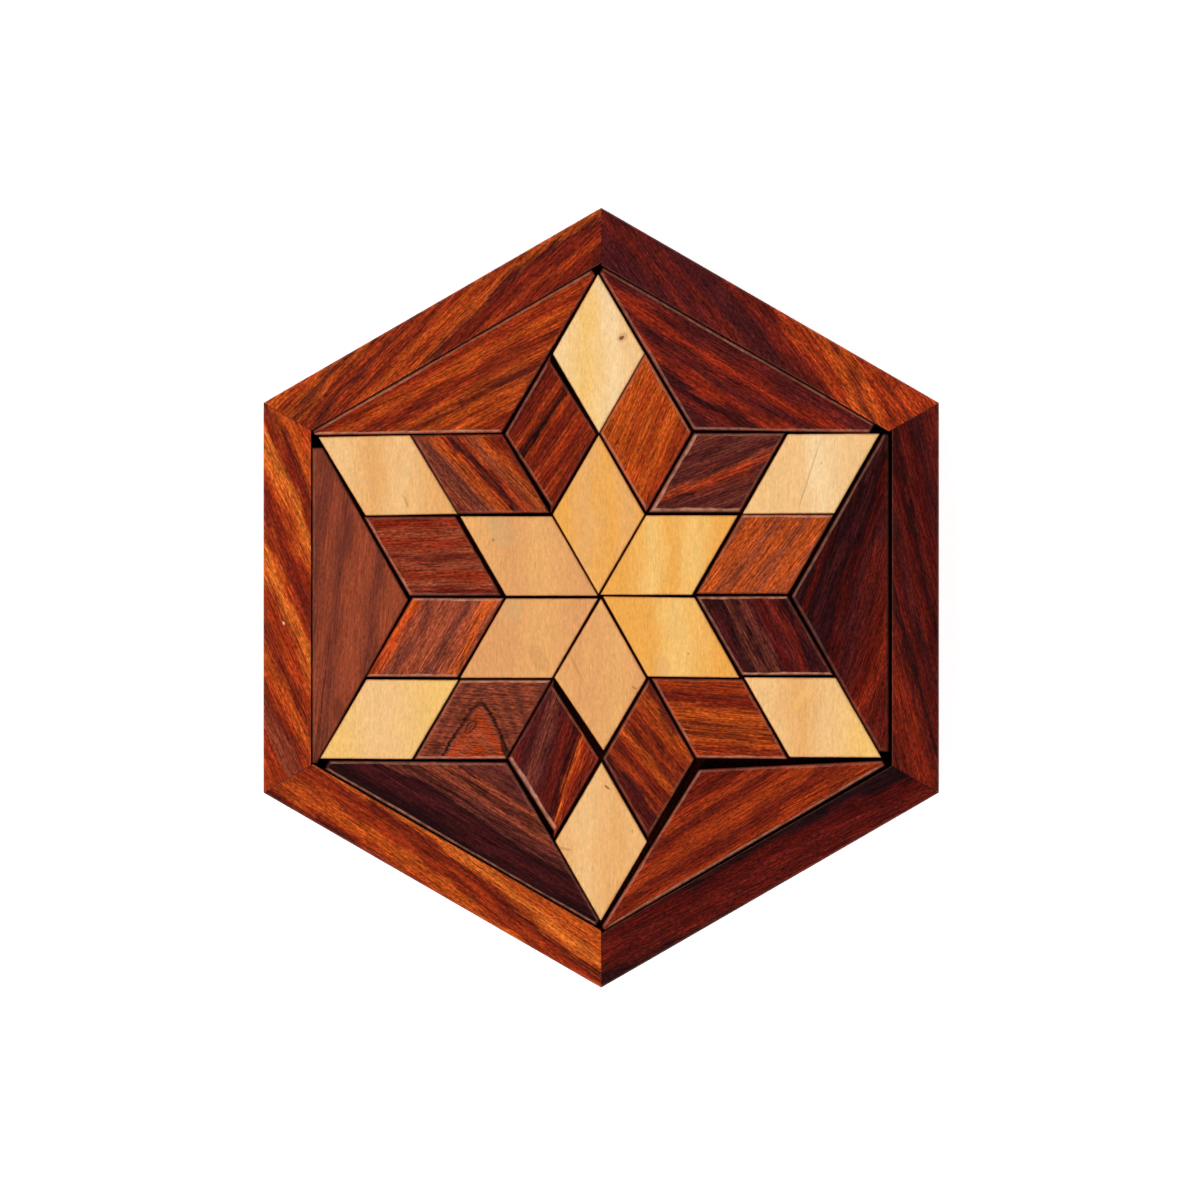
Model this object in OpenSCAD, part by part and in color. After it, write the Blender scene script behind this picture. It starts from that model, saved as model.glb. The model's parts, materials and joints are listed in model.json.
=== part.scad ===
// Hexagonal star tray puzzle. A tray of six mitred rosewood rails round a base board
// holds a star of loose wooden diamonds, with six edge triangles filling in round it.
// The origin is the middle of the underside, +Z is up, and two of the tray's corners
// lie on the Y axis. Pieces are numbered anticlockwise as seen from above, starting
// at the top corner.

/* [Tray] */
// Width of the tray across its flat sides
tray_flats = 130; // [90:1:220]
// Width of a rail, seen from above
rail_w = 9; // [7:0.5:12]
// Thickness of the base board
base_t = 4; // [2:0.5:8]
// How far the base board is let into the rails
rebate_w = 4; // [3:0.5:5]
// Gap round the base board
board_gap = 0.2; // [0.1:0.05:0.5]
// How far the rails stand above the loose pieces
rim_h = 0.5; // [0.2:0.1:3]
// Size of the small bevel along the rails' edges
rail_ease = 0.4; // [0.2:0.1:1]
// Width of the glue line in each mitre
glue_line = 0.05; // [0.02:0.01:0.2]

/* [Loose pieces] */
// Thickness of the loose pieces
piece_t = 12; // [8:0.5:25]
// Average gap between two neighbouring pieces
play = 0.35; // [0.3:0.05:0.8]
// Distance from the line between two star points to the rail
star_room = 1.8; // [1.4:0.1:3]
// Bevel along the edges of the dark diamonds
dark_ease = 0.7; // [0.2:0.1:1]
// Bevel along the edges of the pale diamonds
pale_ease = 0.4; // [0.2:0.1:1]
// Bevel along the edges of the triangles
triangle_ease = 0.4; // [0.2:0.1:0.5]
// Width of the triangles' blunt tips
tip_w = 1; // [1:0.1:3]
// How far one edge of the bottom inner diamond was sawn short
sawn_short = 1.5; // [0:0.1:3]

/* [Base pins] */
// Distance between the two pins of a rail
pin_spacing = 34; // [16:1:36]
// Diameter of a pin's shank
pin_d = 1.2; // [1:0.1:1.6]
// How deep a pin bites into its rail
pin_bite = 5; // [3:0.5:6]
// Diameter of a pin's head
head_d = 2.4; // [2:0.1:3]
// Thickness of a pin's head
head_t = 0.6; // [0.4:0.1:1]
// How far the heads are sunk into the board
head_sunk = 0.2; // [0.1:0.1:0.5]

/* [Hidden] */

outer_apothem = tray_flats / 2;
inner_apothem = outer_apothem - rail_w;
tray_h = base_t + piece_t + rim_h;

// The star is laid out on a grid of equal diamonds: its points are two long diagonals
// out from the middle, and its notches are two sides out.
pitch = (inner_apothem - star_room) / 3;
half_diagonal = pitch * cos(30);
side = pitch - play / sin(60);

// Gaps round a triangle: against the star at the notch and at the tips, and to the rail
notch_gap = 2.4 * play;
tip_gap = play;
wall_gap = 1.4 * play;

// Where the pins stand, how much wider their holes are, and how far the holes run on
pin_r = inner_apothem + rebate_w / 2;
pin_clear = 0.1;
pilot_over = 0.3;

// How much wider each rail was sawn on its inner side, in plays
rail_over = [0.6, 0.4, 1.4, 0.1, 0.1, 1.6];

// How each loose piece lies in its play, counted in plays: to the right, up and, at its
// point, swung anticlockwise. The whole star has slid a little to the left of the tray.
star_lie = [-1.2, 0.5];
inner_lie = [
    [-0.2, 0.6, -0.1],
    [0.2, 0.1, 0],
    [0.2, -0.4, 0],
    [0.7, 0.1, -0.4],
    [1, 0.2, -0.6],
    [-0.2, 0.6, 0]
];
tip_lie = [
    [-0.2, -0.3, 0.25],
    [0, -0.3, 0.8],
    [0.75, -0.3, -0.3],
    [1.2, -0.5, -0.2],
    [1.4, 0.7, -0.2],
    [0.5, 0.65, 0.25]
];
dark_lie = [
    [-0.8, 0.2, 0],
    [-0.8, 0.5, 0.5],
    [-1.2, 0, 0.1],
    [0.2, 0, -0.2],
    [0.7, -0.4, 0],
    [0.8, 0.3, 0],
    [1.4, 0.4, -0.2],
    [1.8, 0, -0.5],
    [0.8, 1, 0.1],
    [1, 1.1, 0],
    [0.3, 1.2, 0.1],
    [-0.2, 1, 0.3]
];
// How each triangle lies, in plays: anticlockwise along its rail, towards the rail, how
// much further back its apex was sawn, and its turn
triangle_lie = [
    [1.2, -0.5, 0, 0],
    [1.8, -0.4, 0, 0],
    [1.6, -0.8, -0.4, 0],
    [-0.8, 1.3, 2.7, 0.37],
    [0.2, 0.9, -0.5, 0],
    [0.9, -0.3, 0.2, 0]
];
// How much wider each triangle's tips were sawn, clockwise end first, in tip widths
tip_over = [[0.4, 0], [1.2, 0], [0.95, 0.45], [0, 0.1], [0.9, 0.1], [1, 0.4]];

rail_wood = ["#8c3a1d", "#94471f", "#9a4a22", "#5e1f17", "#551c16", "#6d2b1b"];
triangle_wood = ["#8f4526", "#7a3f28", "#4a2420", "#8a3418", "#45201d", "#5c241a"];
dark_wood = [
    "#7c2d18", "#8a4426", "#7d3020", "#8f4a25", "#6b3020", "#56261c",
    "#6e3522", "#8d3b1c", "#4a201c", "#9a4520", "#54302a", "#a04c1e"
];
inner_wood = ["#f3bd6c", "#eeb878", "#efc07c", "#f0bb80", "#f2b75e", "#f4bf60"];
tip_wood = ["#f5cf92", "#f0c27c", "#f4cd83", "#f0c488", "#f1c880", "#f2cd93"];

// The direction of the n-th star point, and of the n-th notch, rail and triangle
function point_angle(n) = 30 + 60 * n;
function notch_angle(n) = 60 + 60 * n;
function polar(angle, r) = [r * cos(angle), r * sin(angle)];

// Degrees that a diamond turns when its point swings by this many plays
function swing(plays) = atan(plays * play / (side * cos(30)));

// A diamond with its long diagonal along X; cut moves its +X point back along one side
function diamond(cut = 0) =
    let (tip = [side * cos(30), 0], shoulder = [0, side / 2])
    [tip + cut * (shoulder - tip) / side, shoulder, -tip, -shoulder];

// A triangle with its apex towards the middle of the tray and its base along the rail.
// Its legs follow two edges of the star, further off at the notch than at the tips.
function triangle(apex_back, over) =
    let (
        off = [sin(60), -cos(60)],
        at_notch = [2 * pitch, 0] + off * (notch_gap + apex_back - play / 2),
        at_point = [3 * pitch, 2 * half_diagonal] + off * (tip_gap - play / 2),
        run = (at_point.x - at_notch.x) / (at_point.y - at_notch.y),
        apex_x = at_notch.x - at_notch.y * run,
        base_x = inner_apothem - wall_gap,
        wide = [for (share = over) tip_w * (1 + share)],
        half = [for (tip = wide) (base_x - tip - apex_x) / run]
    )
    [
        [apex_x, 0],
        [base_x - wide[0], -half[0]],
        [base_x, -half[0]],
        [base_x, half[1]],
        [base_x - wide[1], half[1]]
    ];

// A flat block of a convex outline with a 45 degree bevel along its top and bottom edges:
// what is common to one long bevelled slab on the inner side of each edge
module eased_block(outline, height, ease) {
    count = len(outline);
    far = tray_flats;
    section = [[0, ease], [ease, 0], [far, 0], [far, height], [ease, height], [0, height - ease]];
    intersection_for(i = [0:count - 1]) {
        start = outline[i];
        edge = outline[(i + 1) % count] - start;
        translate([start.x, start.y, 0])
        rotate([90, 0, atan2(edge.y, edge.x) + 90])
        linear_extrude(2 * far, center = true)
        polygon(section);
    }
}

// Puts a piece on the base board, about its own middle, as it lies in its play
module lying(middle, lie, turn) {
    place = middle + play * (star_lie + [lie.x, lie.y]);
    translate([place.x, place.y, base_t])
    rotate([0, 0, turn])
    children();
}

// The two pin places of the rail that faces +X
module at_pins() {
    for (y = [-pin_spacing / 2, pin_spacing / 2])
    translate([pin_r, y, 0])
    children();
}

// One rail: its section, run along the rail and cut to the mitres
module rail(n) {
    inner = inner_apothem - rail_over[n - 1] * play;
    section = [
        [inner_apothem + rebate_w, 0],
        [outer_apothem - rail_ease, 0],
        [outer_apothem, rail_ease],
        [outer_apothem, tray_h - rail_ease],
        [outer_apothem - rail_ease, tray_h],
        [inner + rail_ease, tray_h],
        [inner, tray_h - rail_ease],
        [inner, base_t],
        [inner_apothem + rebate_w, base_t]
    ];
    far = outer_apothem + 1;
    mitre_x = glue_line;
    color(rail_wood[n - 1])
    rotate([0, 0, notch_angle(n)])
    difference() {
        intersection() {
            rotate([90, 0, 0])
            linear_extrude(2 * far, center = true)
            polygon(section);
            linear_extrude(tray_h)
            polygon([
                [mitre_x, 0],
                [far, -(far - mitre_x) * tan(30)],
                [far, (far - mitre_x) * tan(30)]
            ]);
        }
        at_pins()
        cylinder(d = pin_d + pin_clear, h = base_t + pin_bite + pilot_over, $fn = 32);
    }
}

// The board that closes the tray from below, drilled and recessed for its pins
module base_board() {
    color("#4a2c1c")
    difference() {
        rotate([0, 0, 30])
        cylinder(r = (inner_apothem + rebate_w - board_gap) / cos(30), h = base_t, $fn = 6);
        for (n = [1:6])
        rotate([0, 0, notch_angle(n)])
        at_pins() {
            translate([0, 0, -1])
            cylinder(d = pin_d + pin_clear, h = base_t + 2, $fn = 32);
            translate([0, 0, -1])
            cylinder(d = head_d + 2 * pin_clear, h = 1 + head_sunk + head_t, $fn = 32);
        }
    }
}

// The steel pins that hold the board to the rails, two to a rail
module base_pins() {
    color("#9a9590")
    for (n = [1:6])
    rotate([0, 0, notch_angle(n)])
    at_pins()
    translate([0, 0, head_sunk]) {
        cylinder(d = head_d, h = head_t, $fn = 32);
        cylinder(d = pin_d, h = base_t + pin_bite - head_sunk, $fn = 32);
    }
}

// The pale diamonds that meet in the middle; the bottom one was sawn short on one edge
module inner_diamond(n) {
    lie = inner_lie[n - 1];
    color(inner_wood[n - 1])
    lying(polar(point_angle(n), half_diagonal), lie, point_angle(n) + swing(lie.z))
    eased_block(diamond(n == 4 ? sawn_short : 0), piece_t, pale_ease);
}

// The pale diamonds at the star's points
module tip_diamond(n) {
    lie = tip_lie[n - 1];
    color(tip_wood[n - 1])
    lying(polar(point_angle(n), 3 * half_diagonal), lie, point_angle(n) + swing(lie.z))
    eased_block(diamond(), piece_t, pale_ease);
}

// The dark diamonds, two to a notch: the odd ones clockwise of it, the even ones past it
module dark_diamond(n) {
    lie = dark_lie[n - 1];
    hand = n % 2 == 0 ? 1 : -1;
    notch = notch_angle(ceil(n / 2));
    middle = polar(notch, pitch) + polar(notch + 30 * hand, half_diagonal);
    color(dark_wood[n - 1])
    lying(middle, lie, notch + 30 * hand + swing(lie.z))
    eased_block(diamond(), piece_t, dark_ease);
}

// The triangles between the star's points
module edge_triangle(n) {
    lie = triangle_lie[n - 1];
    notch = notch_angle(n);
    slide = play * (polar(notch, lie.y) + polar(notch + 90, lie.x));
    color(triangle_wood[n - 1])
    lying(slide, [0, 0], notch + swing(lie[3]))
    eased_block(triangle(lie.z * play, tip_over[n - 1]), piece_t, triangle_ease);
}

for (n = [1:6]) rail(n);
base_board();
base_pins();
for (n = [1:6]) inner_diamond(n);
for (n = [1:6]) tip_diamond(n);
for (n = [1:12]) dark_diamond(n);
for (n = [1:6]) edge_triangle(n);
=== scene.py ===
import json
import math
from typing import NamedTuple

import bpy
import numpy as np
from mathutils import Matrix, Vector, geometry

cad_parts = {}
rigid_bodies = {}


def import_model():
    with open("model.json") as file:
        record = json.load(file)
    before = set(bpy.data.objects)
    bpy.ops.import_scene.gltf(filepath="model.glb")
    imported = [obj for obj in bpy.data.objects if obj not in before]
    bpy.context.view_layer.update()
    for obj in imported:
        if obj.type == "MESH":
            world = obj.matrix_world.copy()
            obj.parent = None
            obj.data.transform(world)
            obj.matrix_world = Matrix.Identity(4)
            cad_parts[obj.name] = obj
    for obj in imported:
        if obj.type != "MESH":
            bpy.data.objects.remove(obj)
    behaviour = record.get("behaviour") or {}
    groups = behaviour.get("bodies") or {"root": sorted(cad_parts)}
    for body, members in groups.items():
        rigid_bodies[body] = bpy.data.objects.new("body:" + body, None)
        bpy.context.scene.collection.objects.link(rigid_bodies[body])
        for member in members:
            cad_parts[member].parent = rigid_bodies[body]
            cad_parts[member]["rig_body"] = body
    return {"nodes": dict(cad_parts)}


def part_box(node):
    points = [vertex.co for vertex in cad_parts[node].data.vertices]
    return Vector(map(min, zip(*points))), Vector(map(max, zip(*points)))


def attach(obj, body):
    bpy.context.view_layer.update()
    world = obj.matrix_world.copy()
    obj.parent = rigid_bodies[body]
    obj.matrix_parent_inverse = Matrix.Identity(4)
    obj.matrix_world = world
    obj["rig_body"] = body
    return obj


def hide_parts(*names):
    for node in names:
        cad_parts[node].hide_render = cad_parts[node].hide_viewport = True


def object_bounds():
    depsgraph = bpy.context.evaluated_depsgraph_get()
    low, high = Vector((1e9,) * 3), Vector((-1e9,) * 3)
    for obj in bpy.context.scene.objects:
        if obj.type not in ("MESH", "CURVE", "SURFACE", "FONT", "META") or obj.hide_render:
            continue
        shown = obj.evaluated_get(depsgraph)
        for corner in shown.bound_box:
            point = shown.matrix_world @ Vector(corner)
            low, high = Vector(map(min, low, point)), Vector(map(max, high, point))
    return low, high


bl_info = {
    "name": "Star tray puzzle",
    "version": (1, 0, 0),
    "blender": (4, 5, 0),
    "location": "3D View > Sidebar > Star tray",
    "description": "Finishes the pieces of a hexagonal star tray puzzle in rosewood and pale wood",
    "category": "Object",
}

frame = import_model()
CAD_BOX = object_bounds()

MM = 0.001
# How strongly edges are paled, partly as rubbed wear and partly as painted highlight, where a
# piece's own table does not say
USUAL_RUB_AND_HIGHLIGHT = 0.08
# How strongly the rails' edges are paled, partly as rubbed wear and partly as painted highlight
RAIL_RUB_AND_HIGHLIGHT = 0.1
# Share of the mitres' gap that the glue leaves open
GLUE_SHARE = 1 / 8
RAILS = [f"rail_{n}" for n in range(1, 7)]
INNER_DIAMONDS = [f"inner_diamond_{n}" for n in range(1, 7)]
TIP_DIAMONDS = [f"tip_diamond_{n}" for n in range(1, 7)]
DARK_DIAMONDS = [f"dark_diamond_{n}" for n in range(1, 13)]
EDGE_TRIANGLES = [f"edge_triangle_{n}" for n in range(1, 7)]
ALL_WOOD = RAILS + INNER_DIAMONDS + TIP_DIAMONDS + DARK_DIAMONDS + EDGE_TRIANGLES


def linear(hex_code):
    """A colour written as six hex digits, as red, green and blue shares of light: each
    digit pair over 255, with the screen's gamma taken off."""
    shares = [int(hex_code[i : i + 2], 16) / 255 for i in (0, 2, 4)]
    return [s / 12.92 if s <= 0.04045 else ((s + 0.055) / 1.055) ** 2.4 for s in shares]


class Wood(NamedTuple):
    """How one piece was cut from its plank. Lengths are millimetres and the middle of the
    piece's top is the origin; along runs with the grain and across is to its left."""

    # Direction of the grain in degrees, seen from above
    turn: float
    # Tones across the grain: each one is a place across and a tone
    bands: str
    # How strongly the bands bend along the grain, where the bend has its top and its power
    bow: float = 0.0
    bow_at: float = 0.0
    bow_power: float = 2.0
    # How far the bands wander, slowly and in small waves
    wander: float = 1.6
    ripple: float = 0.8
    # Strength of the streaks, the fine fibres, the hair lines, the pores and the flecks
    streaks: float = 0.25
    fibre: float = 0.8
    lines: float = 0.3
    pores: float = 0.55
    flecks: float = 0.35
    # How light the piece is against its tones
    light: float = 1.0
    # Fibres per millimetre along and across the grain
    fine: tuple = (0.16, 2.8)
    # Marks: along, across, half length, half width, turn, tone and strength of each
    marks: tuple = ()
    # Bevels wider than usual: the direction that the edge faces and the width of each
    wide: str = ""
    # Rims paler than usual, partly rubbed wear and partly painted highlight: the direction that the
    # edge faces and the strength
    rubbed_and_highlit: str = ""
    # Tones of the paled rims, rubbed wear and painted highlight, and of the sawn sides
    rim: str = "clay"
    kerf: str = "plum"


# Each piece's rim strengths by facing are partly rubbed wear and partly painted highlight on its
# bevels.
WOODS = {
    "rail_1": Wood(
        45,
        "12.5 orange, 11 brick, 9.6 orange, 8 plum, 6.6 orange, 5.2 maroon, 4.2 rust, 3 plum,"
        "1.8 rust, 0.6 maroon, -0.4 rust, -1.4 orange, -2.4 brick, -3.5 orange, -5.2 plum,"
        "-6.6 brick, -7.6 maroon, -8.8 rust, -10 maroon, -11 brick, -12.5 maroon",
        bow=0.0025,
        light=1.06,
        fibre=0.85,
    ),
    "rail_2": Wood(
        114,
        "17 rust, 15 brick, 13.5 brown, 11 maroon, 9.5 rust, 8 orange, 6 maroon, 4.2 rust,"
        "2.5 brick, 0.6 amber, -1 rust, -2.8 maroon, -4.5 brick, -6 rust, -8.5 amber,"
        "-10 brick, -11.6 maroon, -13.5 orange, -16 rust",
        marks=((-4.2, 2.6, 0.35, 0.2, 0, "milk", 0.8),),
        light=1.2,
    ),
    "rail_3": Wood(
        -35,
        "8 orange, 6 amber, 5 orange, 4 maroon, 3 brick, 2.2 rust, 1.2 brick, 0.3 orange,"
        "-0.8 orange, -1.8 rust, -2.7 maroon, -4 maroon",
        bow=0.0008,
        lines=0.6,
    ),
    # The ink bands at 5.6 and 8 across run along the rail's inner edge and are painted shade there.
    "rail_4": Wood(
        26,
        "8 ink, 5.6 ink, 4.5 oxblood, 3 oxblood, 1.8 maroon, 0.8 oxblood, -0.2 maroon,"
        "-1.2 oxblood, -2.2 maroon, -4 ink, -5 ink",
        ripple=0.5,
        light=1.05,
        lines=0.5,
        fibre=1.0,
        flecks=0.7,
    ),
    "rail_5": Wood(
        104,
        "11 maroon, 7.5 brick, 5.5 maroon, 4.4 ink, 3.2 maroon, 2 oxblood, 0.8 plum,"
        "-0.8 maroon, -2.2 oxblood, -3.6 ink, -5 maroon, -6.5 oxblood, -8 plum, -11 maroon",
        fibre=0.9,
        light=0.92,
    ),
    "rail_6": Wood(
        -53,
        "19 rust, 16.5 brick, 14.5 rust, 12.5 maroon, 10.8 rust, 9 brick, 7.6 orange,"
        "6.2 maroon, 4.6 orange, 3.2 brick, 2 rust, 0.8 maroon, -0.8 maroon, -3 plum,"
        "-5.5 plum, -7.5 maroon, -9 plum, -10.5 maroon, -12.5 plum",
        bow=0.003,
        light=1.2,
        fibre=0.95,
        flecks=0.6,
    ),
    "edge_triangle_1": Wood(
        27,
        "2 rust, 0 rust, -1.5 brick, -2.6 rust, -4 orange, -5.2 rust, -6.5 maroon, -7.2 rust,"
        "-8.5 orange, -9.8 maroon, -11.5 orange, -12.6 brick, -13.6 orange, -15.5 brick",
        wander=2.4,
        marks=((6, -6.5, 7, 1.3, 4, "maroon", 0.5), (8, -9.5, 5, 0.7, -3, "plum", 0.5)),
        rubbed_and_highlit="120 0.9, 270 0.9",
        light=1.0,
    ),
    "edge_triangle_2": Wood(
        84,
        "13 brown, 9 umber, 7 brown, 4.5 umber, 2 brown, -1 brown, -3 umber, -5 brown, -8 brown",
        ripple=0.3,
        streaks=0.04,
        fibre=0.42,
        lines=0.1,
        pores=0.35,
        flecks=0.15,
        light=1.18,
        marks=((-21, 1.6, 3, 1.2, 10, "umber", 0.6), (13, 3.8, 4, 1, -4, "umber", 0.6)),
        rubbed_and_highlit="180 0.3",
    ),
    "edge_triangle_3": Wood(
        -31,
        "0 ink, 3 plum, 5 ink, 5.8 umber, 6.5 ink, 7.5 umber, 8.2 plum, 9.2 brown, 10 ink,"
        "11.3 brown, 12 plum, 13.3 umber, 15 plum, 16 umber",
        ripple=0.6,
        lines=0.6,
        rubbed_and_highlit="90 0.4, 240 0.7, 30 0.2",
        light=1.32,
        fibre=0.8,
    ),
    "edge_triangle_4": Wood(
        32,
        "-1.5 brick, 0.5 rust, 2 brick, 3.2 maroon, 5 rust, 6.5 rust, 7.8 brick,"
        "8.8 maroon, 10 rust, 11.5 brick, 12.8 maroon, 14 brick, 16 maroon",
        streaks=0.2,
        rubbed_and_highlit="150 0.5, 300 0.9, 90 0.3",
        light=0.93,
    ),
    "edge_triangle_5": Wood(
        72,
        "-15 maroon, -11 brick, -9 oxblood, -6.5 maroon, -4 plum, -2 oxblood, -0.5 ink,"
        "1.5 plum, 3.5 ink, 5 oxblood, 6.5 ink, 9 plum",
        wander=3,
        rubbed_and_highlit="210 0.15, 150 0.35",
        fibre=0.95,
        flecks=0.6,
        light=0.95,
    ),
    "edge_triangle_6": Wood(
        -32,
        "1.5 maroon, 0 plum, -2 maroon, -3.6 brick, -5 maroon, -6.4 plum, -7.8 maroon,"
        "-9.3 brick, -11 plum, -12 ink, -13.3 maroon, -15.5 plum",
        wander=2.4,
        lines=0.5,
        streaks=0.15,
        fibre=0.9,
        flecks=0.6,
        light=1.32,
        rubbed_and_highlit="270 0.5, 60 0.7, 210 0.4",
    ),
    "dark_diamond_1": Wood(
        56,
        "8.5 plum, 6.8 maroon, 5.8 brick, 4.9 maroon, 3.9 rust, 3 maroon, 2.5 ink, 1.7 ink,"
        "1.2 rust, 0 brick, -1.3 maroon, -2.5 rust, -4 brick, -4.9 maroon, -6 rust,"
        "-7 maroon, -8.5 brick",
        wander=0.5,
        ripple=0.3,
        rubbed_and_highlit="30 0.15, 150 0.4, 210 0.25",
    ),
    "dark_diamond_2": Wood(
        -47,
        "8 maroon, 6 brick, 4.5 orange, 2.8 brown, 1.4 rust, 0.8 plum, 0.1 plum,"
        "-0.5 rust, -1.6 orange, -2.8 brown, -4 umber, -5.5 brown, -8 maroon",
        wander=0.8,
        rubbed_and_highlit="210 0.2, 270 0.2",
    ),
    "dark_diamond_3": Wood(
        2,
        "8 maroon, 6 brick, 4.5 brown, 3 brick, 1 brown, 0 maroon, -2 brown, -4 brick,"
        "-5.5 brown, -7.5 maroon",
        wander=0.8,
        streaks=0.15,
        light=1.12,
        rubbed_and_highlit="210 0.6, 270 0.3, 30 0.1, 90 0.2",
    ),
    "dark_diamond_4": Wood(
        60,
        "8 orange, 6 rust, 4.5 brown, 3 umber, 1.5 brown, 0 brown, -1.5 umber, -4 brown,"
        "-6.5 orange, -8 brown",
        streaks=0.1,
        lines=0.2,
        light=1.38,
        rubbed_and_highlit="270 0.8, 90 1",
    ),
    "dark_diamond_5": Wood(
        -5,
        "-16 orange, -6 rust, -3 brown, 0 rust, 1.8 brown, 2.6 umber, 2.9 ink, 3.5 ink,"
        "4.2 brown, 5.6 umber, 7.5 brown, 10 umber, 13 brown, 17 umber, 22 brown, 30 umber",
        bow=0.8,
        bow_at=-0.6,
        bow_power=1.4,
        wander=0.5,
        ripple=0.3,
        streaks=0.06,
        marks=(
            (4.8, -5.6, 1.8, 0.6, -65, "ink", 0.8),
            (-8.4, -6.4, 1.6, 0.5, 65, "ink", 0.6),
            (-2.3, -1.8, 2.1, 0.95, 60, "ink", 0.75),
            (-2.3, -1.8, 1.5, 0.5, 60, "brown", 1),
            (-2.3, -1.8, 1.0, 0.14, 60, "ink", 0.7),
        ),
        rubbed_and_highlit="270 0.8, 90 1, 150 0.3",
        light=1.12,
    ),
    "dark_diamond_6": Wood(
        72,
        "8 maroon, 5 plum, 3 umber, 1 plum, -1 maroon, -2.9 ink, -3.5 maroon, -4.4 orange,"
        "-5.3 brick, -7 maroon, -9 brick",
        wander=0.8,
        wide="210 1.0",
        rubbed_and_highlit="30 0.3, 150 0.1, 210 1",
        light=1.3,
        streaks=0.12,
    ),
    "dark_diamond_7": Wood(
        -51,
        "9.5 brick, 7.5 maroon, 5.8 orange, 4.5 rust, 3.2 maroon, 1.8 rust, 0.8 maroon,"
        "-1 orange, -2.5 brick, -3.6 maroon, -5 rust, -7 plum, -9 maroon",
        rubbed_and_highlit="330 0.2, 150 0.3, 210 0.2",
        light=0.92,
    ),
    "dark_diamond_8": Wood(
        -5,
        "8 brick, 6 rust, 4.8 rust, 3.6 maroon, 2.6 brick, 1 orange, -0.4 orange,"
        "-1.2 maroon, -2 orange, -2.9 maroon, -3.8 orange, -4.8 rust, -5.3 maroon,"
        "-6.2 rust, -8 brick",
        wander=0.8,
        ripple=0.5,
        rubbed_and_highlit="30 0.3, 90 0.2, 210 0.4, 270 0.7",
        light=0.93,
    ),
    "dark_diamond_9": Wood(
        -62,
        "8 plum, 6 ink, 4.5 maroon, 3.2 plum, 2 oxblood, 0.5 plum, -1 umber, -2.5 ink,"
        "-4 umber, -5.5 ink, -8 plum",
        fibre=0.95,
        flecks=0.7,
        light=1.3,
        rubbed_and_highlit="30 0.15, 90 0.9, 210 0.4, 270 1",
    ),
    "dark_diamond_10": Wood(
        52,
        "8 brown, 5 orange, 2.5 brown, 0 orange, -2 brown, -4 orange, -6 brown, -8 orange",
        streaks=0.1,
        lines=0.15,
        flecks=0.6,
        light=1.05,
        rubbed_and_highlit="90 1, 150 0.2, 330 0.1",
    ),
    "dark_diamond_11": Wood(
        22,
        "9 maroon, 6 umber, 4 plum, 2.5 umber, 1 plum, 0.2 umber, -0.7 rust, -1.8 plum,"
        "-2.6 umber, -3.4 plum, -5 umber, -7 plum, -9 maroon",
        wide="150 0.9, 270 0.9",
        streaks=0.15,
        light=1.2,
        rubbed_and_highlit="90 0.35, 150 0.9, 270 0.8, 330 0.2",
    ),
    "dark_diamond_12": Wood(
        67,
        "7.5 rust, 6.5 orange, 5.2 orange, 3.8 orange, 2.2 rust, 1.2 orange, 0 orange,"
        "-1.8 rust, -3 orange, -4.5 orange, -6 rust, -7.5 rust",
        streaks=0.15,
        rubbed_and_highlit="150 0.3, 210 0.6, 30 0.6",
        light=0.98,
    ),
}
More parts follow.
